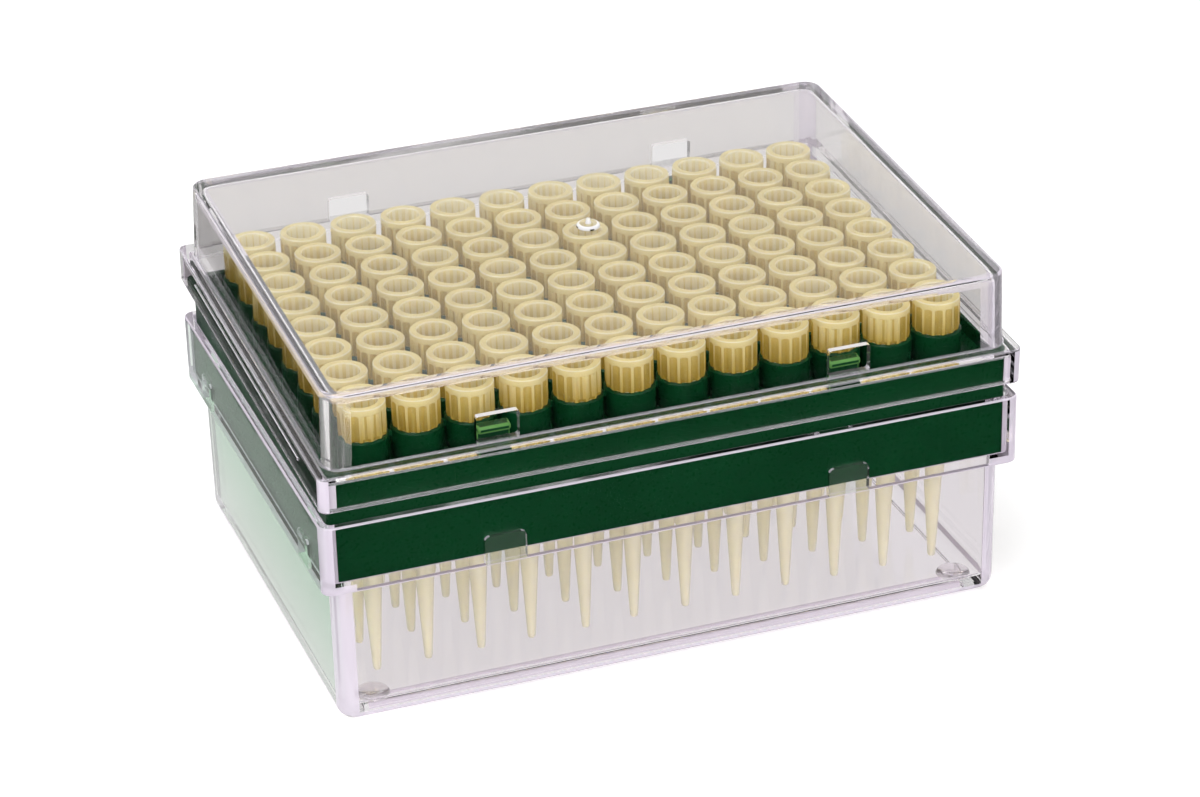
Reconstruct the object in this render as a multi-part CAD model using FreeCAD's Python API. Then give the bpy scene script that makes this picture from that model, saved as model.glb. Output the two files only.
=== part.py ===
import FreeCAD, Part
import math
import os

# A box of pipette tips, modelled as its maker moulds it: a clear base with a wider rim
# band, a tip tray that stands on the ledge inside that band, ninety-six tips that hang in
# the collars of the tray, and a clear lid. The lid is pressed home at neither end: its
# front rests on the tray's wall and its back on the two rear hooks, so it pitches.
# Millimetres. +Z is up, X runs along the rows of tips, and the origin is the middle of
# the base's underside.

# ---- The grid of tips
PITCH = 9.0
COLUMNS = 12
ROWS = 8
TIPS_PER_NODE = 4

# ---- One tip
TIP_LENGTH = 49.0
HEAD_DIAMETER = 7.9
HEAD_HEIGHT = 5.7
BODY_TOP_DIAMETER = 6.3
TIP_END_DIAMETER = 1.2
BORE_MOUTH_DIAMETER = 5.4
BORE_END_WALL = 1.0            # solid left under the point of the bore
ROUND_FACETS = 6               # sides of each round that is repeated ninety-six times
BORE_FACETS = 4                # sides of a tip's own narrow bore
FACET_TURN = 15.0              # degrees, so that no corner points at a neighbour

# ---- The tip tray
COLLAR_DIAMETER = 8.5
COLLAR_HEIGHT = 5.1
BODY_CLEARANCE = 0.35          # between a tip's body and its collar, on the radius
DECK_THICKNESS = 1.5
DECK_MARGIN_X = 4.35           # from the outer cells of the grid to the tray's outside
DECK_MARGIN_Y = 4.85
TRAY_WALL = 1.2
TRAY_WALL_RISE = 2.5           # how far the tray's wall stands above the deck
TRAY_HEIGHT = 15.7             # from the foot of the skirt to the top of the deck
TRAY_CORNER_FLAT = 0.7         # a narrow flat for the tray's hidden round corners

# ---- The four hooks on the tray
HOOK_SPACING = 60.0
HOOK_WIDTH = 5.5
HOOK_THICKNESS = 1.2
HOOK_NOSE = 0.9
HOOK_NOSE_HEIGHT = 1.2
HOOK_CLEARANCE = 0.25          # from the nose to the inside of the lid's front wall

# ---- The base
BASE_WALL = 1.5
BAND_HEIGHT = 12.1
BAND_STEP = 2.1                # how far the band stands out from the tub, on each side
LEDGE_THICKNESS = 1.5
FLOOR_THICKNESS = 1.5
FOOT_HEIGHT = 1.0
FOOT_INSET = 3.0               # from the tub's outside to the inside of the foot ring
TUB_CORNER_RADIUS = 3.0
TUB_INNER_FLAT = 1.0           # a narrow flat for each round corner inside
BAND_CORNER_RADIUS = 1.9
BAND_INNER_FLAT = 0.3
BASE_EDGE_CHAMFER = 0.6
TUB_DRAFT = 0.35               # degrees
TRAY_FIT = 0.3                 # between the tray's skirt and the band
TIP_FLOOR_CLEARANCE = 1.7
POCKET_SPACING = 59.4
POCKET_WIDTH_LONG = 7.1        # in the long sides
POCKET_WIDTH_SHORT = 5.8       # in the short sides
POCKET_HEIGHT = 5.0
POCKET_DEPTH = 0.8
DOME_SPACING_X = 103.0         # four low domes on the floor, one near each corner
DOME_SPACING_Y = 71.6
DOME_DIAMETER = 5.8
DOME_TOP_DIAMETER = 3.4
DOME_HEIGHT = 1.0

# ---- The lid
LID_WALL = 1.4
LID_TOP_THICKNESS = 1.5
LID_HEADROOM = 4.8             # from the tips to the lid's ceiling when the lid is home
LID_SKIRT_DEPTH = 4.8
LID_STEP_X = 1.8               # how far the skirt stands out from the wall
LID_STEP_Y = 2.1
LID_FIT_X = 0.3                # between the lid's skirt and the tray
LID_FIT_Y = 0.8
LID_DRAFT = 1.65               # degrees
LID_CORNER_RADIUS = 3.0
LID_INNER_FLAT = 1.0
SKIRT_CORNER_RADIUS = 1.5
LID_EDGE_CHAMFER = 0.5
WINDOW_WIDTH = 7.2
WINDOW_HEIGHT = 4.7
WINDOW_SILL = 0.2              # above the lid's ledge
GRIP_LENGTH = 63.0
GRIP_DROP = 2.5                # below the top of the skirt
GRIP_HEIGHT = 0.6
GRIP_PROUD = 0.25

# ---- How the lid lies
LID_PITCH = 2.48               # degrees, the back higher
LID_SHIFT = -0.33              # along Y
SEAT_CLEARANCE = 0.2

# ---- Places worked out from those sizes, all heights from the base's underside
floor_top = FOOT_HEIGHT + FLOOR_THICKNESS
tip_end = floor_top + TIP_FLOOR_CLEARANCE
tip_rim = tip_end + TIP_LENGTH
collar_top = tip_rim - HEAD_HEIGHT
deck_top = collar_top - COLLAR_HEIGHT
deck_bottom = deck_top - DECK_THICKNESS
ledge_top = deck_top - TRAY_HEIGHT
band_bottom = ledge_top - LEDGE_THICKNESS
base_rim = band_bottom + BAND_HEIGHT
tray_top = deck_top + TRAY_WALL_RISE

tray_length = COLUMNS * PITCH + 2 * DECK_MARGIN_X
tray_width = ROWS * PITCH + 2 * DECK_MARGIN_Y
band_inner_length = tray_length + 2 * TRAY_FIT
band_inner_width = tray_width + 2 * TRAY_FIT
band_length = band_inner_length + 2 * BASE_WALL
band_width = band_inner_width + 2 * BASE_WALL
tub_length = band_length - 2 * BAND_STEP
tub_width = band_width - 2 * BAND_STEP

skirt_inner_length = tray_length + 2 * LID_FIT_X
skirt_inner_width = tray_width + 2 * LID_FIT_Y
skirt_length = skirt_inner_length + 2 * LID_WALL
skirt_width = skirt_inner_width + 2 * LID_WALL
lid_length = skirt_length - 2 * LID_STEP_X
lid_width = skirt_width - 2 * LID_STEP_Y
lid_ceiling = tip_rim - tray_top + LID_HEADROOM      # above the underside of the ledge
lid_height = lid_ceiling + LID_TOP_THICKNESS

pitch_angle = math.radians(LID_PITCH)
lid_inner_half_width = lid_width / 2 - LID_WALL
front_seat = -tray_width / 2 - LID_SHIFT
lid_place = tray_top + SEAT_CLEARANCE - front_seat * math.tan(pitch_angle)
hook_top = lid_place + lid_inner_half_width * math.sin(pitch_angle) - SEAT_CLEARANCE
hook_reach = lid_inner_half_width * math.cos(pitch_angle) - LID_SHIFT - HOOK_CLEARANCE

UP = FreeCAD.Vector(0, 0, 1)
CUT = 1.0                      # how far a cutter runs past the face that it opens


def rounded_rectangle(length, width, radius, height):
    """A closed outline centred on the Z axis, with its corners as arcs."""
    arcs = []
    for number, (side_x, side_y) in enumerate([(1, 1), (-1, 1), (-1, -1), (1, -1)]):
        centre = FreeCAD.Vector(side_x * (length / 2 - radius), side_y * (width / 2 - radius), height)
        arcs.append(Part.makeCircle(radius, centre, UP, number * 90, number * 90 + 90))
    edges = []
    for arc, following in zip(arcs, arcs[1:] + arcs[:1]):
        start = arc.valueAt(arc.LastParameter)
        end = following.valueAt(following.FirstParameter)
        edges += [arc, Part.makeLine(start, end)]
    return Part.Wire(edges)


def block(length, width, radius, bottom, top):
    """An upright block with rounded corners."""
    face = Part.Face(rounded_rectangle(length, width, radius, bottom))
    return face.extrude(UP * (top - bottom))


def square_block(length, width, bottom, top):
    """An upright block with sharp corners, centred on the Z axis."""
    corner = FreeCAD.Vector(-length / 2, -width / 2, bottom)
    return Part.makeBox(length, width, top - bottom, corner)


def flat_face(corners):
    return Part.Face(Part.makePolygon(corners + corners[:1]))


def flat_sided_solid(top, bottom):
    """A solid with flat sides from a ring of corners down to another, or to a single point."""
    faces = [flat_face(top)]
    if len(bottom) > 1:
        faces.append(flat_face(bottom[::-1]))
    for number in range(len(top)):
        following = (number + 1) % len(top)
        foot = [bottom[number], bottom[following]] if len(bottom) > 1 else bottom
        faces.append(flat_face(foot + [top[following], top[number]]))
    return Part.Solid(Part.Shell(faces))


def outline_corners(length, width, height, flat=0):
    """The corners of a rectangle centred on the Z axis, each cut off by a flat if one is given."""
    corners = []
    for side_x, side_y in [(1, 1), (-1, 1), (-1, -1), (1, -1)]:
        if not flat:
            corners.append(FreeCAD.Vector(side_x * length / 2, side_y * width / 2, height))
            continue
        pair = [FreeCAD.Vector(side_x * length / 2, side_y * (width / 2 - flat), height),
                FreeCAD.Vector(side_x * (length / 2 - flat), side_y * width / 2, height)]
        corners += pair if side_x == side_y else pair[::-1]
    return corners


def drafted_block(length, width, wide_height, narrow_height, draft, flat=0):
    """A block of full size at one height, whose walls lean in towards the other height."""
    inset = 2 * abs(narrow_height - wide_height) * math.tan(math.radians(draft))
    wide = outline_corners(length, width, wide_height, flat)
    narrow = outline_corners(length - inset, width - inset, narrow_height, flat)
    top, bottom = (wide, narrow) if wide_height > narrow_height else (narrow, wide)
    return flat_sided_solid(top, bottom)


def rounded_upright(solid, radius):
    """A block with its four steep edges rounded."""
    height = solid.BoundBox.ZLength
    return solid.makeFillet(radius, [edge for edge in solid.Edges if edge.BoundBox.ZLength > height / 2])


def edges_at(shape, height):
    """The edges of a shape that lie in one level plane."""
    tolerance = 1e-5
    return [edge for edge in shape.Edges
            if abs(edge.BoundBox.ZMin - height) < tolerance and abs(edge.BoundBox.ZMax - height) < tolerance]


def facet_corners(diameter, height, facets=ROUND_FACETS):
    """The corners of a regular polygon with the area of the circle that it stands for."""
    step = 2 * math.pi / facets
    radius = diameter / 2 * math.sqrt(step / math.sin(step))
    angles = [math.radians(FACET_TURN) + step * number for number in range(facets)]
    return [FreeCAD.Vector(radius * math.cos(angle), radius * math.sin(angle), height) for angle in angles]


def facet_prism(diameter, bottom, top):
    """An upright prism that stands for a cylinder."""
    return flat_sided_solid(facet_corners(diameter, top), facet_corners(diameter, bottom))


def grid_places():
    """The middles of the tips, column by column, from the front left."""
    places = []
    for column in range(COLUMNS):
        for row in range(ROWS):
            x = (column - (COLUMNS - 1) / 2) * PITCH
            y = (row - (ROWS - 1) / 2) * PITCH
            places.append(FreeCAD.Vector(x, y, 0))
    return places


def at_each(shape, places):
    """One moved copy of a shape for each place."""
    return [shape.translated(place) for place in places]


def make_base():
    """The tub and its rim band, moulded as one piece with walls of even thickness."""
    tub = rounded_upright(drafted_block(tub_length, tub_width, ledge_top, 0, TUB_DRAFT), TUB_CORNER_RADIUS)
    tub = tub.makeChamfer(BASE_EDGE_CHAMFER, edges_at(tub, 0))
    band = block(band_length, band_width, BAND_CORNER_RADIUS, band_bottom, base_rim)
    band_inside = drafted_block(band_inner_length, band_inner_width, base_rim + CUT, ledge_top, 0,
                                BAND_INNER_FLAT)
    tub_inside = drafted_block(tub_length - 2 * BASE_WALL, tub_width - 2 * BASE_WALL, ledge_top, floor_top,
                               TUB_DRAFT, TUB_INNER_FLAT)
    underside = square_block(tub_length - 2 * FOOT_INSET, tub_width - 2 * FOOT_INSET, -CUT, FOOT_HEIGHT)
    return tub.fuse(band).cut([band_inside, tub_inside, underside] + make_pockets()).fuse(make_domes())


def make_domes():
    """Low domes on the floor, rooted in it."""
    root = facet_corners(DOME_DIAMETER, floor_top - FLOOR_THICKNESS / 2)
    foot = facet_corners(DOME_DIAMETER, floor_top)
    top = facet_corners(DOME_TOP_DIAMETER, floor_top + DOME_HEIGHT)
    dome = flat_sided_solid(foot, root).fuse(flat_sided_solid(top, foot))
    corners = outline_corners(DOME_SPACING_X, DOME_SPACING_Y, 0)
    return at_each(dome, corners)


def make_pockets():
    """Shallow pockets in the inside of the band, each open below through the ledge."""
    bottom = band_bottom - CUT
    top = band_bottom + POCKET_HEIGHT
    reach = TRAY_FIT + POCKET_DEPTH
    in_long_side = square_block(POCKET_WIDTH_LONG, reach, bottom, top)
    in_short_side = square_block(reach, POCKET_WIDTH_SHORT, bottom, top)
    pockets = []
    for place in (-POCKET_SPACING / 2, POCKET_SPACING / 2):
        for side in (-1, 1):
            from_middle_y = side * (tray_width + reach) / 2
            from_middle_x = side * (tray_length + reach) / 2
            pockets.append(in_long_side.translated(FreeCAD.Vector(place, from_middle_y, 0)))
            pockets.append(in_short_side.translated(FreeCAD.Vector(from_middle_x, place, 0)))
    return pockets


def make_hook(side):
    """A springy lug on the deck, with a nose that points outwards to one long side."""
    outer = hook_reach - HOOK_NOSE
    inner = outer - HOOK_THICKNESS
    root = deck_top - DECK_THICKNESS / 2
    nose_bottom = hook_top - HOOK_NOSE_HEIGHT
    profile = [(inner, root), (outer, root), (outer, nose_bottom), (hook_reach, nose_bottom),
               (hook_reach, hook_top), (inner, hook_top), (inner, root)]
    outline = Part.makePolygon([FreeCAD.Vector(-HOOK_WIDTH / 2, side * y, z) for y, z in profile])
    return Part.Face(outline).extrude(FreeCAD.Vector(HOOK_WIDTH, 0, 0))


def make_tray():
    """The deck with its collars and bores, its wall and skirt, and the four hooks."""
    inner_length = tray_length - 2 * TRAY_WALL
    inner_width = tray_width - 2 * TRAY_WALL
    shell = drafted_block(tray_length, tray_width, tray_top, ledge_top, 0, TRAY_CORNER_FLAT)
    above = square_block(inner_length, inner_width, deck_top, tray_top + CUT)
    below = square_block(inner_length, inner_width, ledge_top - CUT, deck_bottom)
    collar = facet_prism(COLLAR_DIAMETER, deck_top - DECK_THICKNESS / 2, collar_top)
    bore_diameter = BODY_TOP_DIAMETER + 2 * BODY_CLEARANCE
    bore = facet_prism(bore_diameter, deck_bottom - CUT, collar_top + CUT)
    hooks = []
    for side in (-1, 1):
        hook = make_hook(side)
        hooks += at_each(hook, [FreeCAD.Vector(x, 0, 0) for x in (-HOOK_SPACING / 2, HOOK_SPACING / 2)])
    tray = shell.cut([above, below]).fuse(at_each(collar, grid_places()) + hooks)
    return tray.cut(at_each(bore, grid_places())).removeSplitter()


def make_tip():
    """One tip on the Z axis: a straight head, a tapering body and a tapering bore."""
    head = facet_prism(HEAD_DIAMETER, collar_top, tip_rim)
    body_top = facet_corners(BODY_TOP_DIAMETER, collar_top)
    body = flat_sided_solid(body_top, facet_corners(TIP_END_DIAMETER, tip_end))
    mouth = facet_corners(BORE_MOUTH_DIAMETER, tip_rim, BORE_FACETS)
    point = FreeCAD.Vector(0, 0, tip_end + BORE_END_WALL)
    bore = flat_sided_solid(mouth, [point])
    return head.fuse(body).cut(bore).removeSplitter()


def make_lid():
    """The lid, made level with the underside of its ledge at zero, then laid in place."""
    wall = rounded_upright(drafted_block(lid_length, lid_width, 0, lid_height, LID_DRAFT), LID_CORNER_RADIUS)
    wall = wall.makeChamfer(LID_EDGE_CHAMFER, edges_at(wall, lid_height))
    skirt = block(skirt_length, skirt_width, SKIRT_CORNER_RADIUS, -LID_SKIRT_DEPTH, LID_WALL)
    skirt_inside = square_block(skirt_inner_length, skirt_inner_width, -LID_SKIRT_DEPTH - CUT, 0)
    wall_inside = drafted_block(lid_length - 2 * LID_WALL, lid_width - 2 * LID_WALL, 0, lid_ceiling,
                                LID_DRAFT, LID_INNER_FLAT)
    grips = Part.makeBox(skirt_length + 2 * GRIP_PROUD, GRIP_LENGTH, GRIP_HEIGHT)
    grips.translate(FreeCAD.Vector(-skirt_length / 2 - GRIP_PROUD, -GRIP_LENGTH / 2, LID_WALL - GRIP_DROP))
    windows = []
    for x in (-HOOK_SPACING / 2, HOOK_SPACING / 2):
        window = Part.makeBox(WINDOW_WIDTH, skirt_width, WINDOW_HEIGHT)
        window.translate(FreeCAD.Vector(x - WINDOW_WIDTH / 2, -skirt_width / 2, LID_WALL + WINDOW_SILL))
        windows.append(window)
    lid = wall.fuse([skirt, grips]).cut([skirt_inside, wall_inside] + windows).removeSplitter()
    lid.rotate(FreeCAD.Vector(0, 0, 0), FreeCAD.Vector(1, 0, 0), LID_PITCH)
    lid.translate(FreeCAD.Vector(0, LID_SHIFT, lid_place))
    return lid


def single_solid(shape):
    """The one solid in a shape."""
    solids = shape.Solids
    assert len(solids) == 1, len(solids)
    return solids[0]


def save(name, shape):
    """Write one sub-part, after a test that it is sound."""
    assert shape.isValid(), name
    shape.exportStep(f"parts/{name}.step")
    box = shape.BoundBox
    print(f"{name}: {len(shape.Solids)} solids, {box.XLength:.2f} x {box.YLength:.2f} x {box.ZLength:.2f} mm")


os.makedirs("parts", exist_ok=True)
save("base_box", single_solid(make_base()))
save("tip_tray", single_solid(make_tray()))
save("lid", single_solid(make_lid()))

tip = single_solid(make_tip())
places = grid_places()
for start in range(0, len(places), TIPS_PER_NODE):
    group = at_each(tip, places[start:start + TIPS_PER_NODE])
    column, row = divmod(start, ROWS)
    save(f"tips_column_{column + 1:02d}_row_{row + 1}", Part.makeCompound(group))
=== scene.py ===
# %% [markdown]
# # A box of pipette tips
# A clear polystyrene base holds a dark green polypropylene tray, ninety-six pale yellow
# tips hang in the tray's collars, and a clear lid lies over them.
# The solid model is loaded first. Each looks-piece that follows is measured from it and
# rides with the part that it dresses.

# %% Load the frame
import math
import random

import bmesh
import bpy
from mathutils import Matrix, Quaternion, Vector


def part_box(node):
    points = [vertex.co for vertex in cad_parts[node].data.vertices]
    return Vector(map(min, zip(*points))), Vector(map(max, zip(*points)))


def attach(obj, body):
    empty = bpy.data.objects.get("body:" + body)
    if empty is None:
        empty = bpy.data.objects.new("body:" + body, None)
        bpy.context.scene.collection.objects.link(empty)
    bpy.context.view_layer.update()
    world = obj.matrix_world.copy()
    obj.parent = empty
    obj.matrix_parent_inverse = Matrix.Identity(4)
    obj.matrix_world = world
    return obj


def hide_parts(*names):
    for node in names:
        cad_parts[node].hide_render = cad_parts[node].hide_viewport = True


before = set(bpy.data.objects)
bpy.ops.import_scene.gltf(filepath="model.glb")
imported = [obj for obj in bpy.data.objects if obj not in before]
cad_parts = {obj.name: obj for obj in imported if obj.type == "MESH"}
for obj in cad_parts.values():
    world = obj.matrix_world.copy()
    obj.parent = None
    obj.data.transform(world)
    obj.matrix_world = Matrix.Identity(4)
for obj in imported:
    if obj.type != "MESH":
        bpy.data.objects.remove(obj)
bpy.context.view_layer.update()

MM = 0.001

# %% [markdown]
# ## The camera
# A long lens from the left front, well above the box, with a small roll of the horizon.
# Its place is measured in millimetres from the middle of the base's underside.

# %% Camera
CAMERA_PLACE = Vector((-193.24, -552.77, 326.61)) * MM
CAMERA_TURN = math.radians(19.42)
CAMERA_DIP = math.radians(26.97)
CAMERA_ROLL = math.radians(-1.48)
SENSOR_WIDTH = 36.0
FOCAL_LENGTH = 115.5


def new_object(name, data):
    """An object of the scene that shows a mesh, a lamp or a camera."""
    made = bpy.data.objects.new(name, data)
    bpy.context.scene.collection.objects.link(made)
    return made


camera = new_object("camera", bpy.data.cameras.new("camera"))
bpy.context.scene.camera = camera
camera.data.sensor_width = SENSOR_WIDTH
camera.data.lens = FOCAL_LENGTH
camera.data.clip_start = 0.01
camera.data.clip_end = 10.0
camera.location = CAMERA_PLACE
looking = Vector((math.sin(CAMERA_TURN) * math.cos(CAMERA_DIP),
                  math.cos(CAMERA_TURN) * math.cos(CAMERA_DIP),
                  -math.sin(CAMERA_DIP)))
camera.rotation_mode = "QUATERNION"
camera.rotation_quaternion = looking.to_track_quat("-Z", "Y") @ Quaternion((0, 0, 1), CAMERA_ROLL)

# %% [markdown]
# ## Materials, and their helpers
# Every finish here is a moulded plastic. One function turns a written colour into the
# linear values that a shader wants, and one adds a node with its settings and links.
# Noise gives the small changes of shade, height and gloss of a real moulding.

# %% Colour and node helpers
def linear(hex_colour):
    """An sRGB colour such as "#c0ffee" as linear red, green, blue and alpha."""
    shares = [int(hex_colour[start:start + 2], 16) / 255 for start in (1, 3, 5)]
    curve = [share / 12.92 if share <= 0.04045 else ((share + 0.055) / 1.055) ** 2.4 for share in shares]
    return (*curve, 1.0)


def add_node(tree, kind, settings=None, values=None, links=None):
    """A node with its settings and, for its sockets, values and what feeds them: a socket or a node."""
    node = tree.nodes.new(kind)
    for name, setting in (settings or {}).items():
        setattr(node, name, setting)
    for socket, value in (values or {}).items():
        node.inputs[socket].default_value = value
    for socket, source in (links or {}).items():
        output = source.outputs[0] if isinstance(source, bpy.types.Node) else source
        tree.links.new(output, node.inputs[socket])
    return node


def new_material(name):
    """An empty node material and its tree."""
    material = bpy.data.materials.new(name)
    material.use_nodes = True
    material.node_tree.nodes.clear()
    return material, material.node_tree


def add_noise(tree, place, size, detail):
    """Noise whose features are about this many millimetres across."""
    return add_node(tree, "ShaderNodeTexNoise", {}, {"Scale": 1 / (size * MM), "Detail": detail},
                    {"Vector": place})


# %% [markdown]
# ## Clear polystyrene
# The base and the lid are crystal polystyrene, injection moulded in a polished tool. The
# faces are glossy but never quite flat: slow flow waves, a few millimetres across, bend
# what is seen through them, and handling leaves patches that are a little duller. The
# index is set below the plastic's own 1.59, because a thin wall hardly shifts what lies
# behind it, and so that its mirror images stay as faint as under a polarising filter.
# Glass in a path tracer blocks lamps, so shadow rays pass with only a faint tint.
#
# One recipe makes every finish. A clearness below one mixes some plain colour in:
# - Rounded edges and corners are painted milky: painted light, in place of the light that
#   real edges pipe to the eye. It is least on the lid.
# - The gate's rounds are painted nearly white, a painted highlight, and the backs of the
#   pockets are faintly matt.
# - The tub's left end is painted with a green reflection of the tray that grows with
#   height. The band's left end has only a trace of this painted reflection.
# - The domes keep the true index, because they have to look like lenses.

# %% Clear polystyrene
POLYSTYRENE_INDEX = 1.3
END_INDEX = 1.15  # the tub's left end hardly mirrors the room
BAND_END_INDEX = 1.08  # and the band's left end still less
DOME_INDEX = 1.59
SHADOW_TINT = "#fbf9fa"  # what a lamp's light takes on at each face
FLOW_SIZE = 14  # width of a flow wave, in millimetres
FLOW_DEPTH = 0.12 * MM
RUB_SIZE = 5  # width of a rubbed patch, in millimetres
POLISHED = 0.015  # roughness of a clean face
RUBBED = 0.075  # roughness in the middle of a rubbed patch
# A painted green reflection of the tray grows between these heights.
PAINTED_REFLECTION_HEIGHTS = (4, 30)  # a cast grows to its full strength between these heights, in millimetres


def clear_polystyrene(name, tint, clearness, shadow_tint=SHADOW_TINT, index=POLYSTYRENE_INDEX,
                      painted_reflection_tint=None):
    """Clear plastic. The clearness is the share of its light that goes through it. A painted reflection tint,
    if given, grows with height.
    """
    material, tree = new_material(name)
    place = add_node(tree, "ShaderNodeTexCoord").outputs["Object"]
    wave = add_noise(tree, place, FLOW_SIZE, 1.5)
    rub = add_noise(tree, place, RUB_SIZE, 5.0)
    dull = add_node(tree, "ShaderNodeMapRange", {},
                    {"From Min": 0.45, "From Max": 0.75, "To Min": POLISHED, "To Max": RUBBED},
                    {"Value": rub})
    bump = add_node(tree, "ShaderNodeBump", {}, {"Strength": 0.35, "Distance": FLOW_DEPTH}, {"Height": wave})
    plastic = add_node(tree, "ShaderNodeBsdfPrincipled", {},
                       {"Base Color": linear(tint), "IOR": index, "Transmission Weight": clearness},
                       {"Roughness": dull, "Normal": bump})
    if painted_reflection_tint:
        height = add_node(tree, "ShaderNodeSeparateXYZ", {}, {}, {"Vector": place}).outputs["Z"]
        share = add_node(tree, "ShaderNodeMapRange", {},
                         {"From Min": PAINTED_REFLECTION_HEIGHTS[0] * MM, "From Max": PAINTED_REFLECTION_HEIGHTS[1] * MM},
                         {"Value": height})
        painted_reflection_mix = add_node(tree, "ShaderNodeMix", {"data_type": "RGBA"},
                        {"A": linear(tint), "B": linear(painted_reflection_tint)}, {"Factor": share})
        tree.links.new(painted_reflection_mix.outputs["Result"], plastic.inputs["Base Color"])
    clear = add_node(tree, "ShaderNodeBsdfTransparent", {}, {"Color": linear(shadow_tint)})
    shadow = add_node(tree, "ShaderNodeLightPath").outputs["Is Shadow Ray"]
    mix = add_node(tree, "ShaderNodeMixShader", {}, {}, {0: shadow, 1: plastic, 2: clear})
    add_node(tree, "ShaderNodeOutputMaterial", {}, {}, {"Surface": mix})
    return material


base_plastic = clear_polystyrene("polystyrene_clear_base", "#fcf9fb", 1.0)
# Painted light: the milky finish of the rounds stands for the light that clear edges pipe.
edge_painted_light_plastic = clear_polystyrene("polystyrene_edge_painted_light", "#ddd4e1", 0.35)
# Painted reflection: the tray's green, painted onto the left ends of the tub and the band.
painted_reflection_end_plastic = clear_polystyrene("polystyrene_painted_green_reflection", "#e0eae1", 0.86, index=END_INDEX,
                                painted_reflection_tint="#aad2b5")
painted_reflection_band_end_plastic = clear_polystyrene("polystyrene_band_end_painted_reflection", "#dcf2e2", 1.0, index=BAND_END_INDEX)
pocket_plastic = clear_polystyrene("polystyrene_matt_pocket", "#dbe6de", 0.96)
dome_plastic = clear_polystyrene("polystyrene_clear_dome", "#f4f0f4", 0.92, index=DOME_INDEX)
lid_plastic = clear_polystyrene("polystyrene_clear_lid", "#f7f5f5", 1.0, shadow_tint="#fcfbfc")
# Painted shade: a greyer, hazier veil on the lid's far walls and left corners.
lid_wall_painted_veil_plastic = clear_polystyrene("polystyrene_lid_wall_painted_veil", "#eeecec", 0.94, shadow_tint="#fcfbfc")
# Painted light: a milky finish on the lid's rounds and the strip of top over its far walls.
lid_edge_painted_light_plastic = clear_polystyrene("polystyrene_lid_edge_painted_light", "#ece6f0", 0.82)
# Painted highlight: the nearly white rounds of the gate's mark.
gate_painted_highlight_plastic = clear_polystyrene("polystyrene_gate_painted_highlight", "#fbfafc", 0.3)

# %% [markdown]
# ## Green polypropylene
# The tray is polypropylene dyed through with a deep green. It is waxier than the clear
# parts: a soft sheen with a fine tooling grain, and a shade that drifts slightly from gate
# to edge. The rounded edges of the hooks are painted a second, much lighter green: a
# painted highlight where light falls on their thin edges.

# %% Green polypropylene
DRIFT_SIZE = 22  # width of a drift in the shade, in millimetres
TOOLING_SIZE = 0.5  # width of the tooling grain, in millimetres
GRAIN_DEPTH = 0.02 * MM


def green_polypropylene(name, deep, light):
    """Green plastic whose shade drifts between two colours."""
    material, tree = new_material(name)
    place = add_node(tree, "ShaderNodeTexCoord").outputs["Object"]
    drift = add_noise(tree, place, DRIFT_SIZE, 2.0)
    grain = add_noise(tree, place, TOOLING_SIZE, 3.0)
    colour = add_node(tree, "ShaderNodeMix", {"data_type": "RGBA"},
                      {"A": linear(deep), "B": linear(light)}, {"Factor": drift})
    sheen = add_node(tree, "ShaderNodeMapRange", {}, {"To Min": 0.22, "To Max": 0.36}, {"Value": grain})
    bump = add_node(tree, "ShaderNodeBump", {}, {"Strength": 0.1, "Distance": GRAIN_DEPTH}, {"Height": grain})
    plastic = add_node(tree, "ShaderNodeBsdfPrincipled", {}, {"IOR": 1.49, "Specular IOR Level": 0.15},
                       {"Base Color": colour.outputs["Result"], "Roughness": sheen, "Normal": bump})
    add_node(tree, "ShaderNodeOutputMaterial", {}, {}, {"Surface": plastic})
    return material


tray_plastic = green_polypropylene("polypropylene_green", "#032d15", "#073a1e")
# Painted highlight: the lighter green of the hooks' rounded edges.
hook_painted_highlight_plastic = green_polypropylene("polypropylene_green_painted_highlight", "#3d6e33", "#5d8a49")

# %% [markdown]
# ## Yellow polypropylene
# The tips are thin-walled polypropylene with a trace of yellow. They glow softly instead
# of looking painted: part of the light soaks through a wall with a blur, and part of what
# lies behind it is seen straight through. The thin bodies look almost white and the thick
# heads a clear yellow, so the colour deepens with height. The grooves between the ribs
# and the flat tops of the rims are painted a deeper yellow, as painted shade, and the
# rounds of the rims and streaks down the bore are painted paler, as painted highlights,
# so these have finishes of their own. A faint mottling stands for the flow of the melt.

# %% Yellow polypropylene
SOAKED_SHARE = 0.25  # how much of the light soaks through a face of a tip
SIGHT_SHARE = 0.35  # how much of what lies behind a face is seen straight through it
LAMP_SHARE = 0.7  # how much of a lamp's light goes straight on through it
MELT_SIZE = 6  # width of the mottling, in millimetres
GRAIN_SIZE = 0.6  # width of the surface grain, in millimetres


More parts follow.
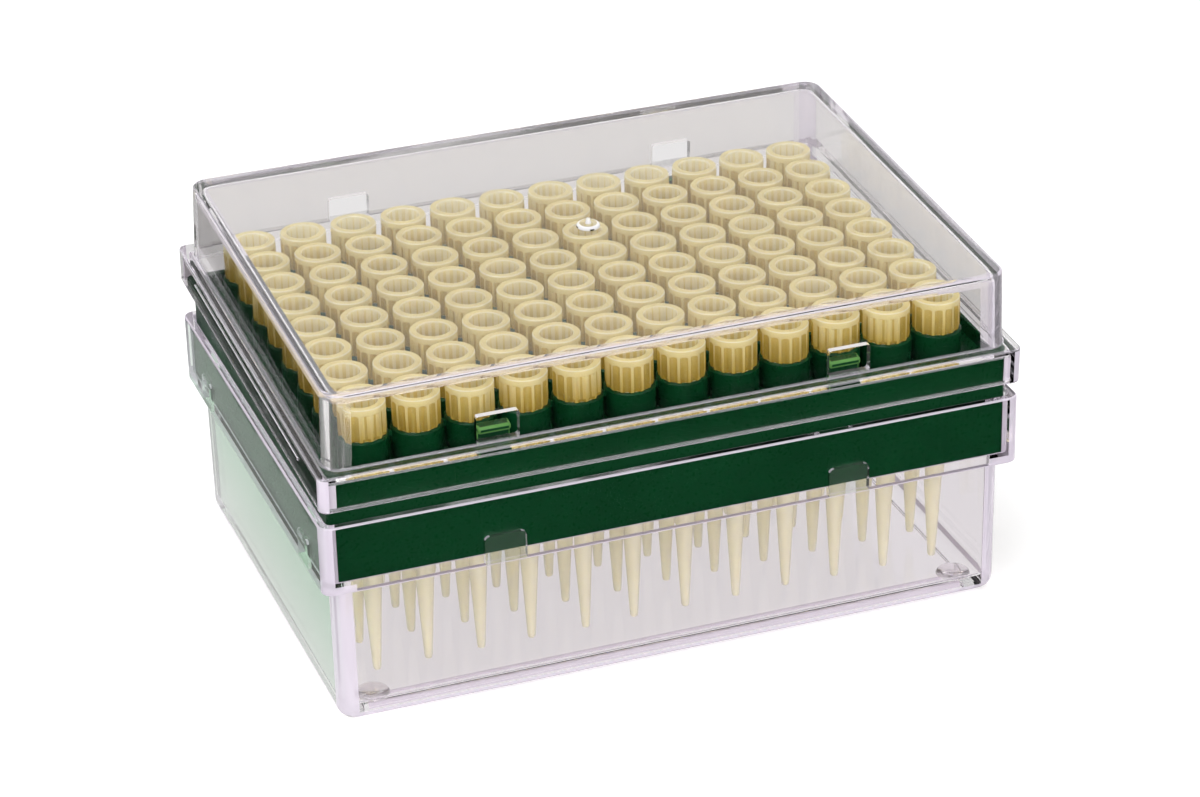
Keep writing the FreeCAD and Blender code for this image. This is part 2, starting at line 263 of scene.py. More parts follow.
def yellow_polypropylene(name, stops):
    """A material whose colour follows the height in millimetres, given as pairs of height and colour."""
    material, tree = new_material(name)
    place = add_node(tree, "ShaderNodeTexCoord").outputs["Object"]
    height = add_node(tree, "ShaderNodeSeparateXYZ", {}, {}, {"Vector": place}).outputs["Z"]
    flow = add_noise(tree, place, MELT_SIZE, 2.0)
    grain = add_noise(tree, place, GRAIN_SIZE, 2.0)
    low, high = stops[0][0] * MM, stops[-1][0] * MM
    share = add_node(tree, "ShaderNodeMapRange", {}, {"From Min": low, "From Max": high}, {"Value": height})
    ramp = add_node(tree, "ShaderNodeValToRGB", {}, {}, {"Fac": share})
    for stop, _ in stops[1:-1]:
        ramp.color_ramp.elements.new((stop * MM - low) / (high - low))
    for element, (stop, colour) in zip(ramp.color_ramp.elements, stops):
        element.color = linear(colour)
    mottle = add_node(tree, "ShaderNodeMapRange", {}, {"To Min": 0.94, "To Max": 1.06}, {"Value": flow})
    colour = add_node(tree, "ShaderNodeHueSaturation", {}, {},
                      {"Value": mottle, "Color": ramp})
    sheen = add_node(tree, "ShaderNodeMapRange", {}, {"To Min": 0.08, "To Max": 0.16}, {"Value": grain})
    bump = add_node(tree, "ShaderNodeBump", {}, {"Strength": 0.1, "Distance": GRAIN_DEPTH}, {"Height": grain})
    plastic = add_node(tree, "ShaderNodeBsdfPrincipled", {},
                       {"IOR": 1.4, "Transmission Weight": 0.3, "Subsurface Weight": 0.3,
                        "Subsurface Scale": 0.6 * MM, "Subsurface Radius": (1.0, 0.9, 0.6)},
                       {"Base Color": colour, "Roughness": sheen, "Normal": bump})
    soaked = add_node(tree, "ShaderNodeBsdfTranslucent", {}, {}, {"Color": colour})
    seen = add_node(tree, "ShaderNodeMixShader", {}, {0: SOAKED_SHARE}, {1: plastic, 2: soaked})
    passed = add_node(tree, "ShaderNodeBsdfTransparent", {}, {"Color": linear("#fdfaea")})
    ray = add_node(tree, "ShaderNodeLightPath")
    share = add_node(tree, "ShaderNodeMath", {"operation": "MULTIPLY_ADD"},
                     {1: LAMP_SHARE - SIGHT_SHARE, 2: SIGHT_SHARE}, {0: ray.outputs["Is Shadow Ray"]})
    mix = add_node(tree, "ShaderNodeMixShader", {}, {}, {0: share, 1: seen, 2: passed})
    add_node(tree, "ShaderNodeOutputMaterial", {}, {}, {"Surface": mix})
    return material


tip_plastic = yellow_polypropylene("polypropylene_yellow",
                                   [(30, "#fffdf0"), (48, "#d8c068"), (53.2, "#fff6c8")])
# Painted highlights: the pale rim rounds and the streaks down the bore.
tip_painted_highlight_plastic = yellow_polypropylene("polypropylene_yellow_painted_highlight",
                                       [(35, "#fffdf0"), (46, "#fff8d4"), (53.2, "#fffce2")])
# Painted shade: the deeper yellow of the grooves and of the flat tops of the rims.
tip_painted_shade_plastic = yellow_polypropylene("polypropylene_yellow_painted_shade",
                                          [(47, "#ac923a"), (50, "#bea650"), (52, "#d6c072"),
                                           (53.2, "#f8ecb6")])

# %% [markdown]
# ## Tools for stepped mouldings
# The base and the lid are walls of even thickness that step outwards. Such a form grows
# from one rounded face: the face is extruded, moved and spread again and again along the
# section, first along the outside and then back along the inside. The corner arcs keep
# their radius when they are spread, and an inset turns the outer radius into the inner
# one, so the wall stays even round the corners. The long edges are rounded last, because
# a clear part shows its shape mostly by the light that its edges catch.

# %% Mesh helpers
CORNER_SEGMENTS = 6
ROUND_ANGLE = math.radians(35)
FLAT_SHARE = 0.995  # a face whose normal is this near an axis is a flat wall
EDGE_TILT = 0.2  # a round face that leans more than this belongs to an edge
CORNER_TURN = 0.1  # a round face turned this far from both axes belongs to a corner
SMALL_ROUND = 0.3  # the round on most edges of the base and the lid
NEAR = 0.01  # points this near each other count as level


def rounded_face(mesh, length, width, radius, height):
    """A level face with round corners, centred on the Z axis."""
    place = Matrix.Translation((0, 0, height)) @ Matrix.Diagonal((length, width, 1, 1))
    made = bmesh.ops.create_grid(mesh, x_segments=1, y_segments=1, size=0.5, matrix=place)
    bmesh.ops.bevel(mesh, geom=made["verts"], offset=radius, offset_type="OFFSET", segments=CORNER_SEGMENTS,
                    profile=0.5, affect="VERTICES", material=-1)
    return max(mesh.faces, key=lambda face: face.calc_area())


def step_face(mesh, face, rise, outwards_x=0, outwards_y=0, keep=False):
    """Extrude a level face up and away from its middle by one step of the section."""
    made = bmesh.ops.extrude_face_region(mesh, geom=[face])["geom"]
    if not keep:
        bmesh.ops.delete(mesh, geom=[face], context="FACES_ONLY")
    verts = [part for part in made if isinstance(part, bmesh.types.BMVert)]
    bmesh.ops.translate(mesh, verts=verts, vec=(0, 0, rise))
    for vert in verts:
        vert.co.x += outwards_x * math.copysign(1, vert.co.x)
        vert.co.y += outwards_y * math.copysign(1, vert.co.y)
    return next(part for part in made if isinstance(part, bmesh.types.BMFace))


def turn_corners(verts, radius, new_radius):
    """Change the corner radius of a level outline and keep its length and width."""
    half_length = max(abs(vert.co.x) for vert in verts)
    half_width = max(abs(vert.co.y) for vert in verts)
    for vert in verts:
        along = (abs(vert.co.x) - half_length) / radius
        across = (abs(vert.co.y) - half_width) / radius
        vert.co.x = math.copysign(half_length + along * new_radius, vert.co.x)
        vert.co.y = math.copysign(half_width + across * new_radius, vert.co.y)


def round_edges(mesh, edges, radius, segments):
    """Bevel a list of edges to a round."""
    bmesh.ops.bevel(mesh, geom=edges, offset=radius, offset_type="OFFSET", segments=segments, profile=0.5,
                    affect="EDGES", clamp_overlap=True, material=-1)


def stepped_shell(length, width, wall, draft, step_x, step_y, heights, radii, rounds, end_segments):
    """A shell of one thickness, closed at one end, that steps outwards once on its way to the rim.

    The heights are those of the end's outside, the step, the rim, the step's inside and the
    end's inside. The radii are those of the corners before the step, after it and inside the
    rim. The rounds are those of the end, the step and the inside of the end.
    """
    end, step, rim, inner_step, inner_end = heights
    narrow, wide, inner = radii
    end_round, step_round, inner_round = rounds
    mesh = bmesh.new()
    face = rounded_face(mesh, length, width, narrow, end)
    end_edges = face.edges[:]
    face = step_face(mesh, face, step - end, draft, draft, keep=True)
    step_edges = face.edges[:]
    face = step_face(mesh, face, 0, step_x, step_y)
    turn_corners(face.verts, narrow, wide)
    outer_edges = face.edges[:]
    face = step_face(mesh, face, rim - step)
    outer_edges += face.edges[:]
    bmesh.ops.inset_region(mesh, faces=[face], thickness=wall, use_even_offset=True)
    turn_corners(face.verts, wide - wall, inner)
    outer_edges += face.edges[:]
    face = step_face(mesh, face, inner_step - rim)
    step_edges += face.edges[:]
    face = step_face(mesh, face, 0, -step_x, -step_y)
    turn_corners(face.verts, inner, narrow - wall)
    outer_edges += face.edges[:]
    face = step_face(mesh, face, inner_end - inner_step, -draft, -draft)
    inner_edges = face.edges[:]
    round_edges(mesh, end_edges, end_round, end_segments)
    round_edges(mesh, outer_edges, SMALL_ROUND, 2)
    round_edges(mesh, step_edges, step_round, 2)
    round_edges(mesh, inner_edges, inner_round, 3)
    return mesh


def split(mesh, place, normal, clear=False):
    """Cut a mesh's faces along a plane, and clear what lies behind it if wanted."""
    bmesh.ops.bisect_plane(mesh, geom=mesh.verts[:] + mesh.edges[:] + mesh.faces[:], plane_co=place,
                           plane_no=normal, clear_inner=clear)


def block_mesh(low, high, radius=0, segments=3, along=None):
    """A box between two corners as its own mesh, with all edges or those along one axis rounded."""
    mesh = bmesh.new()
    size = Vector(high) - Vector(low)
    middle = (Vector(high) + Vector(low)) / 2
    bmesh.ops.create_cube(mesh, size=1, matrix=Matrix.Translation(middle) @ Matrix.Diagonal((*size, 1)))
    if radius:
        edges = [edge for edge in mesh.edges
                 if along is None or abs(edge.verts[0].co[along] - edge.verts[1].co[along]) > radius / 100]
        round_edges(mesh, edges, radius, segments)
    return mesh


def kept(mesh, name):
    """A working mesh as lasting data. The working mesh itself is freed."""
    data = bpy.data.meshes.new(name)
    mesh.to_mesh(data)
    mesh.free()
    return data


def copies(mesh, places):
    """A mesh that holds one copy of another for each place or placing matrix."""
    single = kept(mesh, "single")
    result = bmesh.new()
    for place in places:
        start = len(result.verts)
        result.from_mesh(single)
        result.verts.ensure_lookup_table()
        matrix = place if isinstance(place, Matrix) else Matrix.Translation(place)
        bmesh.ops.transform(result, matrix=matrix, verts=result.verts[start:])
    bpy.data.meshes.remove(single)
    return result


def on_opposite_sides(mesh, spacing, turn=0):
    """Two copies side by side, turned to one side by a number of degrees, and two on the side opposite."""
    turns = [Matrix.Rotation(math.radians(turn + 180 * half), 4, "Z") for half in (0, 1)]
    shifts = [Matrix.Translation((x, 0, 0)) for x in (-spacing / 2, spacing / 2)]
    return copies(mesh, [turn @ shift for turn in turns for shift in shifts])


def append(mesh, other):
    """Put another mesh into a mesh."""
    data = kept(other, "other")
    mesh.from_mesh(data)
    bpy.data.meshes.remove(data)


def shade(data):
    """Smooth shading on rounds alone."""
    data.set_sharp_from_angle(angle=ROUND_ANGLE)
    for polygon in data.polygons:
        polygon.use_smooth = max(map(abs, polygon.normal)) < FLAT_SHARE


def finished_object(mesh, name, *materials):
    """Close and orient a mesh in millimetres, scale it to metres and make it an object."""
    bmesh.ops.remove_doubles(mesh, verts=mesh.verts, dist=0.0005)
    bmesh.ops.recalc_face_normals(mesh, faces=mesh.faces)
    bmesh.ops.scale(mesh, vec=(MM, MM, MM), verts=mesh.verts)
    data = kept(mesh, name)
    for material in materials:
        data.materials.append(material)
    shade(data)
    return new_object(name, data)


def carve(piece, tools, operation):
    """Cut tools out of a piece, or join them to it, and keep the result as its mesh."""
    for tool_mesh in tools:
        tool = finished_object(tool_mesh, "tool", *piece.data.materials)
        change = piece.modifiers.new("carve", "BOOLEAN")
        change.operation = operation
        change.solver = "EXACT"
        change.object = tool
        shape = bpy.data.meshes.new_from_object(piece.evaluated_get(bpy.context.evaluated_depsgraph_get()))
        piece.modifiers.clear()
        shade(shape)
        piece.data = shape
        bpy.data.objects.remove(tool)


def repaint(piece, *rules):
    """Apply rules in turn: a finish for all faces whose normal and middle, in millimetres, pass a test."""
    for index, test in rules:
        for polygon in piece.data.polygons:
            if test(polygon.normal, polygon.center / MM):
                polygon.material_index = index


def everywhere(normal, middle):
    return True


def on_an_edge(normal, middle):
    """The rounds of edges and corners, apart from upright faces almost in line with a wall."""
    x, y, z = map(abs, normal)
    return max(x, y, z) < FLAT_SHARE and (z > EDGE_TILT or min(x, y) > CORNER_TURN)


def dress(piece, body, slot, *nodes):
    """Let a piece ride on a body and stand for the solids that it replaces. Its slot is not used."""
    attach(piece, body)
    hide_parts(*nodes)
    print(piece.name, "faces:", len(piece.data.polygons))


# %% [markdown]
# ## Sizes from the frame
# The boxes of the solids give the heights and lengths that the pieces share. What is left
# are section sizes of the mouldings, each named once.

# %% Shared sizes, in millimetres
base_low, base_high = [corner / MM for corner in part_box("base_box")]
tray_low, tray_high = [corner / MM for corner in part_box("tip_tray")]
lid_low, lid_high = [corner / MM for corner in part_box("lid")]
tip_low, tip_high = [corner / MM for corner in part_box("tips_column_01_row_1")]

PITCH = 9.0
COLUMNS = 12
ROWS = 8
TIPS_PER_NODE = 4
tip_rim = tip_high.z
tip_end = tip_low.z
HEAD_HEIGHT = 5.7
COLLAR_HEIGHT = 5.1
collar_top = tip_rim - HEAD_HEIGHT
deck_top = collar_top - COLLAR_HEIGHT
ledge_top = tray_low.z

# %% [markdown]
# ## The base
# One clear moulding: a tub with a hardly visible draft, a wider band round its mouth and
# a level ledge between them, on which the tray stands. It starts as the outline of the
# underside and is stepped up the outside, over the rim and down the inside to the floor.
# Cuts through flat faces, which change no shape, let parts of them be painted by
# themselves.

# %% Base
BASE_WALL = 1.5
BAND_STEP = 2.1
LEDGE_THICKNESS = 1.5
TUB_DRAFT = 0.16
TUB_CORNER_RADIUS = 3.0
BAND_CORNER_RADIUS = 1.9
BAND_INNER_RADIUS = 1.0
BASE_BOTTOM_RADIUS = 2.4
FLOOR_ROUND = 1.0
# The ledge's milky part is painted light.
LEDGE_END = 5.4  # length of the milky part of the ledge at each corner
FOOT_INSET = 4.5
FOOT_HEIGHT = 1.0
FLOOR_TOP = 2.5
band_bottom = ledge_top - LEDGE_THICKNESS
band_length = base_high.x - base_low.x
band_width = base_high.y - base_low.y


def make_base():
    inset = 2 * (BAND_STEP + TUB_DRAFT)
    mesh = stepped_shell(band_length - inset, band_width - inset, BASE_WALL, TUB_DRAFT, BAND_STEP, BAND_STEP,
                         (0, band_bottom, base_high.z, ledge_top, FLOOR_TOP),
                         (TUB_CORNER_RADIUS, BAND_CORNER_RADIUS, BAND_INNER_RADIUS),
                         (BASE_BOTTOM_RADIUS, SMALL_ROUND, FLOOR_ROUND), 5)
    split(mesh, (0, 0, ledge_top), (0, 0, 1))
    split(mesh, (band_length / 2 - LEDGE_END, 0, 0), (1, 0, 0))
    split(mesh, (LEDGE_END - band_length / 2, 0, 0), (1, 0, 0))
    return finished_object(mesh, "base_shell", base_plastic, edge_painted_light_plastic, painted_reflection_end_plastic, painted_reflection_band_end_plastic,
                           pocket_plastic)


# %% [markdown]
# ### What is moulded into the base
# The underside is hollowed so that the box rests on a foot ring. Eight shallow pockets
# with round upper corners open down through the ledge, on the inner face of the band, and
# four low domes stand on the floor near its corners. Booleans cut the hollows, and the
# domes are a mesh of their own.

# %% Base details
FOOT_ROUND = 0.95
TOOL_REACH = 3  # how far the cutting tools reach below the faces that they cut
# The milky edges are painted light; inside the tub they stay clear.
CLEAR_MARGIN = 1.2  # how far in from the tub's outside its edges stop looking milky
CUT_TOLERANCE = 0.1  # a face this near a plane or a circle counts as lying on it
POCKET_SPACING = 59.4
POCKET_WIDTHS = (7.1, 5.8)
POCKET_HEIGHT = 5.0
POCKET_DEPTH = 0.8
POCKET_ROUND = 0.9
DOME_RADIUS = 2.9
DOME_HEIGHT = 1.0
DOME_LIFT = 0.02  # keeps a dome's underside just clear of the floor
DOME_SPACING = (103.0, 71.6)


def make_recess():
    half_length = band_length / 2 - BAND_STEP - TUB_DRAFT - FOOT_INSET
    half_width = band_width / 2 - BAND_STEP - TUB_DRAFT - FOOT_INSET
    return block_mesh((-half_length, -half_width, -TOOL_REACH), (half_length, half_width, FOOT_HEIGHT),
                      FOOT_ROUND, 4)


def make_pockets():
    meshes = []
    for axis, width in enumerate(POCKET_WIDTHS):
        reach = (band_width, band_length)[axis] / 2 - BASE_WALL
        low = [-width / 2, reach - SMALL_ROUND, band_bottom - TOOL_REACH]
        high = [width / 2, reach + POCKET_DEPTH, band_bottom + POCKET_HEIGHT]
        pocket = block_mesh(low, high, POCKET_ROUND, 4, along=1)
        meshes.append(on_opposite_sides(pocket, POCKET_SPACING, 90 * axis))
    return meshes


def make_domes():
    mesh = bmesh.new()
    bmesh.ops.create_uvsphere(mesh, u_segments=32, v_segments=24, radius=DOME_RADIUS,
                              matrix=Matrix.Diagonal((1, 1, DOME_HEIGHT / DOME_RADIUS, 1)))
    split(mesh, (0, 0, 0), (0, 0, 1), clear=True)
    bmesh.ops.holes_fill(mesh, edges=[edge for edge in mesh.edges if edge.is_boundary])
    corners = [(side_x * DOME_SPACING[0] / 2, side_y * DOME_SPACING[1] / 2, FLOOR_TOP + DOME_LIFT)
               for side_x in (-1, 1) for side_y in (-1, 1)]
    return copies(mesh, corners)


def in_the_tub(normal, middle):
    """The tub's inner edges and the foot ring, whose rounds stay clear."""
    reach_x = band_length / 2 - BAND_STEP - CLEAR_MARGIN
    reach_y = band_width / 2 - BAND_STEP - CLEAR_MARGIN
    above_or_at_an_end = middle.z > FOOT_HEIGHT or abs(middle.x) > reach_x - FOOT_INSET - FOOT_ROUND
    return abs(middle.x) < reach_x and abs(middle.y) < reach_y and above_or_at_an_end


def on_the_ledge(normal, middle):
    """The ledge's flat faces, and all of it near the corners, which get the painted milky light."""
    at_its_height = band_bottom - CUT_TOLERANCE < middle.z < ledge_top + CUT_TOLERANCE
    return at_its_height and (abs(normal.z) > FLAT_SHARE or abs(middle.x) > band_length / 2 - LEDGE_END)


def in_the_left_end(normal, middle):
    """The flat faces, outside and inside, of the walls at the left end, where the tray's green reflection is
    painted.
    """
    return abs(normal.x) > FLAT_SHARE and middle.x < base_low.x + TUB_CORNER_RADIUS


def in_a_pocket(normal, middle):
    """The back of a pocket in a long side, which the tool leaves a little matt."""
    depth = abs(middle.y) - band_width / 2 + BASE_WALL
    return abs(normal.y) > FLAT_SHARE and abs(depth - POCKET_DEPTH) < CUT_TOLERANCE


def in_the_bands_left_end(normal, middle):
    """The part of the left end that stands above the ledge, with only a trace of the painted reflection."""
    return in_the_left_end(normal, middle) and middle.z > ledge_top


base_shell = make_base()
carve(base_shell, [make_recess(), *make_pockets()], "DIFFERENCE")
# Painted milky light on rounds, corners and the ledge; a painted green reflection at the left end.
repaint(base_shell, (0, everywhere), (1, on_an_edge), (0, in_the_tub), (1, on_the_ledge),
        (2, in_the_left_end), (3, in_the_bands_left_end), (4, in_a_pocket))
dress(base_shell, "base", "clear_base", "base_box")
dress(finished_object(make_domes(), "floor_domes", dome_plastic), "base", "clear_base", "base_box")

# %% [markdown]
# ## The lid
# The lid is the same form, from its top downwards: a tapering wall, a ledge, a wide
# skirt, then up the inside. Its walls on the right and at the back are painted a little
# greyer and hazier, a painted veil of shade, and the edge of the top above them is painted
# milky, as painted light. The lid is made and painted level and laid in place last, with
# its front on the tray's wall and its back on two hooks.

# %% Lid
LID_WALL = 1.4
LID_TOP_THICKNESS = 1.5
LID_HEIGHT = 14.6
LID_SKIRT_DEPTH = 4.8
LID_STEP_X = 1.8
LID_STEP_Y = 2.1
LID_TAPER = 0.38
LID_CORNER_RADIUS = 3.0
SKIRT_CORNER_RADIUS = 1.5
SKIRT_INNER_RADIUS = 0.8
LID_LENGTH = 116.5
LID_WIDTH = 81.9
LID_PITCH = math.radians(2.48)
HOOK_SPACING = 60.0
WINDOW_WIDTH = 7.2
WINDOW_HEIGHT = 4.7
WINDOW_SILL = 0.2
WINDOW_ROUND = 0.4
GRIP_LENGTH = 63.0
GRIP_DROP = 2.5
GRIP_HEIGHT = 0.6
GRIP_PROUD = 0.25
GRIP_ROUND = 0.15
TOP_EDGE_ROUND = 0.4
LID_STEP_ROUND = 0.35
CEILING_ROUND = 0.9
# The strip over the far walls is painted milky, as painted light.
FAR_RIM = 2.0  # width of the strip of the top that lies over the far walls
GATE_RADIUS = 2.0
GATE_HEIGHT = 0.55
GATE_ROUND = 0.5
GATE_STUB_RADIUS = 1.2
GATE_STUB_HEIGHT = 1.5


def make_gate():
    """The mark of the moulding gate: a low button with a stub on it."""
    button = bmesh.new()
    bmesh.ops.create_cone(button, cap_ends=True, segments=32, radius1=GATE_RADIUS, radius2=GATE_RADIUS,
                          depth=2 * GATE_HEIGHT)
    top = [edge for edge in button.edges if all(vert.co.z > 0 for vert in edge.verts)]
    round_edges(button, top, GATE_ROUND, 4)
    stub = bmesh.new()
    bmesh.ops.create_cone(stub, cap_ends=True, segments=16, radius1=GATE_STUB_RADIUS,
                          radius2=GATE_STUB_RADIUS / 5, depth=2 * GATE_STUB_HEIGHT)
    return [copies(part, [(0, 0, LID_HEIGHT)]) for part in (button, stub)]


def make_lid():
    mesh = stepped_shell(LID_LENGTH - 2 * LID_TAPER, LID_WIDTH - 2 * LID_TAPER, LID_WALL, LID_TAPER,
                         LID_STEP_X, LID_STEP_Y,
                         (LID_HEIGHT, LID_WALL, -LID_SKIRT_DEPTH, 0, LID_HEIGHT - LID_TOP_THICKNESS),
                         (LID_CORNER_RADIUS, SKIRT_CORNER_RADIUS, SKIRT_INNER_RADIUS),
                         (TOP_EDGE_ROUND, LID_STEP_ROUND, CEILING_ROUND), 3)
    split(mesh, (LID_LENGTH / 2 - FAR_RIM, 0, 0), (1, 0, 0))
    split(mesh, (0, LID_WIDTH / 2 - FAR_RIM, 0), (0, 1, 0))
    lid = finished_object(mesh, "lid_shell", lid_plastic, lid_edge_painted_light_plastic, lid_wall_painted_veil_plastic, gate_painted_highlight_plastic,
                          edge_painted_light_plastic)
    windows = []
    for x in (-HOOK_SPACING / 2, HOOK_SPACING / 2):
        low = (x - WINDOW_WIDTH / 2, -LID_WIDTH, LID_WALL + WINDOW_SILL)
        high = (x + WINDOW_WIDTH / 2, LID_WIDTH, LID_WALL + WINDOW_SILL + WINDOW_HEIGHT)
        windows.append(block_mesh(low, high, WINDOW_ROUND, 2, along=1))
    carve(lid, windows, "DIFFERENCE")
    skirt_side = -LID_LENGTH / 2 - LID_STEP_X
    grip_bottom = LID_WALL - GRIP_DROP
    grip = block_mesh((skirt_side - GRIP_PROUD, -GRIP_LENGTH / 2, grip_bottom),
                      (skirt_side + LID_WALL / 2, GRIP_LENGTH / 2, grip_bottom + GRIP_HEIGHT), GRIP_ROUND, 2)
    grips = copies(grip, [Matrix.Rotation(math.pi * half, 4, "Z") for half in (0, 1)])
    carve(lid, [grips, *make_gate()], "UNION")
    return lid


def lay_lid(lid):
    """Pitch the level lid and bring its box onto the solid lid's box."""
    lid.data.transform(Matrix.Rotation(LID_PITCH, 4, "X"))
    heights = [vert.co.z for vert in lid.data.vertices]
    depths = [vert.co.y for vert in lid.data.vertices]
    rise = lid_high.z * MM - max(heights)
    shift = (lid_high.y + lid_low.y) / 2 * MM - (max(depths) + min(depths)) / 2
    lid.data.transform(Matrix.Translation((0, shift, rise)))


def side_or_back(normal, middle):
    """The upright walls on the right and at the back, which get a painted grey veil of shade."""
    on_the_right = abs(normal.x) > FLAT_SHARE and middle.x > 0
    at_the_back = abs(normal.y) > FLAT_SHARE and middle.y > 0
    return (on_the_right or at_the_back) and middle.z > LID_WALL


def on_an_upright_corner(normal, middle):
    return abs(normal.z) < EDGE_TILT and min(abs(normal.x), abs(normal.y)) > CORNER_TURN


# The left upright corners get the painted grey veil too.
def on_a_left_corner(normal, middle):
    return on_an_upright_corner(normal, middle) and middle.x < 0 and middle.z > LID_WALL


def on_the_skirts_corners(normal, middle):
    return on_an_upright_corner(normal, middle) and middle.z < LID_WALL


def over_a_far_wall(middle):
    return middle.x > LID_LENGTH / 2 - FAR_RIM or middle.y > LID_WIDTH / 2 - FAR_RIM


def on_the_far_rim(normal, middle):
    """The strip of the top over the far walls, painted milky as painted light."""
    on_the_top = normal.z > FLAT_SHARE and middle.z > LID_HEIGHT - CUT_TOLERANCE
    return on_the_top and over_a_far_wall(middle)


def on_the_far_edge(normal, middle):
    """The round between that strip and the walls, painted milky as painted light."""
    near_the_top = middle.z > LID_HEIGHT - TOP_EDGE_ROUND
    return near_the_top and over_a_far_wall(middle) and on_an_edge(normal, middle)


# The gate's rounds carry the painted white highlight.
def at_the_gate(normal, middle):
    return on_an_edge(normal, middle) and math.hypot(middle.x, middle.y) < GATE_RADIUS + CUT_TOLERANCE


lid_shell = make_lid()
# Painted milky light on rounds, the far strip and skirt corners; painted grey veil on far walls; painted
# highlight at the gate.
repaint(lid_shell, (0, everywhere), (1, on_an_edge), (1, on_the_far_rim), (2, side_or_back),
        (2, on_a_left_corner), (4, on_the_skirts_corners), (4, on_the_far_edge), (3, at_the_gate))
lay_lid(lid_shell)
dress(lid_shell, "lid", "clear_lid", "lid")

# %% [markdown]
# ## The tray
# The deck is a grid of equal cells. A cell is one ring of edges extruded along a section:
# from the square cell edge inwards over the deck, up the outside of the collar, over its
# top, down the bore and out again under the deck. Copies of the cell merge along their
# edges into a deck with ninety-six holes. Its free border is then stepped on into the
# wall, round the foot of the skirt and back to the underside.

# %% Tray
RING_SEGMENTS = 24
COLLAR_RADIUS = 4.25
COLLAR_BORE = 3.5
COLLAR_CHAMFER = 0.25
BORE_CHAMFER = 0.2
DECK_THICKNESS = 1.5
TRAY_WALL = 1.2
TRAY_WALL_RISE = 2.5
TRAY_CORNER_RADIUS = 1.2
HOOK_WIDTH = 5.5
HOOK_THICKNESS = 1.2
HOOK_NOSE = 0.9
HOOK_NOSE_HEIGHT = 1.2
HOOK_REACH = 39.6
HOOK_FOOT = 0.5  # how far above the deck's underside a post begins
HOOK_ROUND = 0.2
NOSE_ROUND = 0.4
WEB_THICKNESS = 0.6
WEB_HEIGHT = 1.0
WEB_DROP = 0.5
WEB_SUNK = 0.3  # how far a web reaches into a collar
tray_top = deck_top + TRAY_WALL_RISE
deck_bottom = deck_top - DECK_THICKNESS


def ring_step(mesh, edges, radius, height):
    """Extrude a ring of edges and set it to a radius and a height."""
    made = bmesh.ops.extrude_edge_only(mesh, edges=edges)["geom"]
    for vert in made:
        if isinstance(vert, bmesh.types.BMVert):
            across = vert.co.xy.normalized() * radius
            vert.co = (across.x, across.y, height)
    return [part for part in made if isinstance(part, bmesh.types.BMEdge)]


def square_up(edges):
    """Push a ring out onto the edge of its square cell."""
    for vert in {vert for edge in edges for vert in edge.verts}:
        reach = PITCH / 2 / max(abs(vert.co.x), abs(vert.co.y))
        vert.co.x *= reach
        vert.co.y *= reach


def grid_places():
    """The middles of the tips, column by column, from the front left."""
    return [Vector(((column - (COLUMNS - 1) / 2) * PITCH, (row - (ROWS - 1) / 2) * PITCH, 0))
            for column in range(COLUMNS) for row in range(ROWS)]


def make_cell():
    mesh = bmesh.new()
    bmesh.ops.create_circle(mesh, segments=RING_SEGMENTS, radius=PITCH / 2,
                            matrix=Matrix.Translation((0, 0, deck_top)))
    outer = mesh.edges[:]
    edges = ring_step(mesh, outer, COLLAR_RADIUS, deck_top)
    for radius, height in [(COLLAR_RADIUS, collar_top - COLLAR_CHAMFER),
                           (COLLAR_RADIUS - COLLAR_CHAMFER, collar_top),
                           (COLLAR_BORE + BORE_CHAMFER, collar_top),
                           (COLLAR_BORE, collar_top - BORE_CHAMFER), (COLLAR_BORE, deck_bottom)]:
        edges = ring_step(mesh, edges, radius, height)
    edges = ring_step(mesh, edges, PITCH / 2, deck_bottom)
    square_up(edges)
    square_up(outer)
    return mesh


def border_step(mesh, edges, half_length, half_width, height):
    """Extrude the rectangular border of the deck to a new outline and height."""
    made = bmesh.ops.extrude_edge_only(mesh, edges=edges)["geom"]
    verts = [part for part in made if isinstance(part, bmesh.types.BMVert)]
    far_x = max(abs(vert.co.x) for vert in verts)
    far_y = max(abs(vert.co.y) for vert in verts)
    for vert in verts:
        if abs(vert.co.x) > far_x - NEAR:
            vert.co.x = math.copysign(half_length, vert.co.x)
        if abs(vert.co.y) > far_y - NEAR:
            vert.co.y = math.copysign(half_width, vert.co.y)
        vert.co.z = height
    return [part for part in made if isinstance(part, bmesh.types.BMEdge)]


def make_hooks():
    """Four springy lugs, each a post with a nose at its top that points outwards."""
    hook_top = tray_high.z
    reach = HOOK_REACH - HOOK_NOSE
    post = block_mesh((-HOOK_WIDTH / 2, reach - HOOK_THICKNESS, deck_bottom + HOOK_FOOT),
                      (HOOK_WIDTH / 2, reach, hook_top), HOOK_ROUND, 2)
    nose = block_mesh((-HOOK_WIDTH / 2, reach - HOOK_THICKNESS, hook_top - HOOK_NOSE_HEIGHT),
                      (HOOK_WIDTH / 2, HOOK_REACH, hook_top), NOSE_ROUND, 3)
    append(post, nose)
    return on_opposite_sides(post, HOOK_SPACING)


def make_webs():
    """Thin webs that tie neighbouring collars together near their tops."""
    reach = PITCH / 2 - COLLAR_RADIUS + WEB_SUNK
    across = block_mesh((-reach, -WEB_THICKNESS / 2, collar_top - WEB_DROP - WEB_HEIGHT),
                        (reach, WEB_THICKNESS / 2, collar_top - WEB_DROP))
    half = PITCH / 2
    along_x = [Matrix.Translation(place + Vector((half, 0, 0))) for place in grid_places()[:-ROWS]]
    along_y = [Matrix.Translation(place + Vector((0, half, 0))) @ Matrix.Rotation(math.pi / 2, 4, "Z")
               for number, place in enumerate(grid_places()) if number % ROWS < ROWS - 1]
    return copies(across, along_x + along_y)


